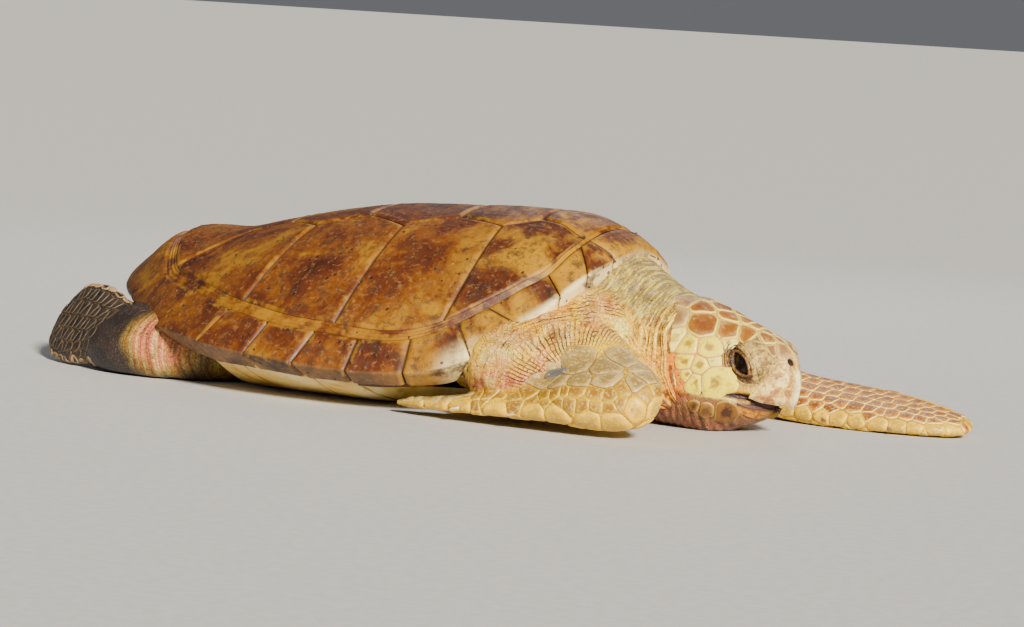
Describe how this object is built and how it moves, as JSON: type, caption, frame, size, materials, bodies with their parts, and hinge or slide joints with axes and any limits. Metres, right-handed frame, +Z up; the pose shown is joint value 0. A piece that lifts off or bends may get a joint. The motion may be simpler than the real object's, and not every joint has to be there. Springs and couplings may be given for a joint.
{
  "type": "loggerhead turtle",
  "caption": "Still life-size model of an adult sea turtle resting on its belly shell, with a high domed back shell, a large beaked head and long flippers.",
  "frame": {"origin": "centre of the flat underside of the belly shell (plastron), on the floor", "axes": "+X towards the head along the shell, +Y to the turtle's left, +Z up"},
  "size_m": [1.4666, 0.6992, 0.305],
  "materials": {
    "shell": "satin horny plates, mottled reddish brown with ochre and cream",
    "belly": "satin horny plates, cream yellow",
    "skin": "scaly wrinkled skin, yellow, tan and olive brown",
    "horn": "worn horn, cream to brown",
    "eye": "wet gloss, near black",
    "tag": "dull dark metal, blank"
  },
  "bodies": {
    "root": {"carapace": "shell", "plastron": "belly", "trunk": "skin", "neck": "skin", "tail": "skin", "head": "skin", "lower_jaw": "skin", "upper_beak": "horn", "eye_right": "eye", "eye_left": "eye", "front_arm_right": "skin", "front_flipper_right": "skin", "claw_front_right_1": "horn", "claw_front_right_2": "horn", "flipper_tag": "tag", "front_arm_left": "skin", "front_flipper_left": "skin", "claw_front_left_1": "horn", "claw_front_left_2": "horn", "hind_leg_right": "skin", "hind_flipper_right": "skin", "hind_leg_left": "skin", "hind_flipper_left": "skin"}
  },
  "joints": []
}
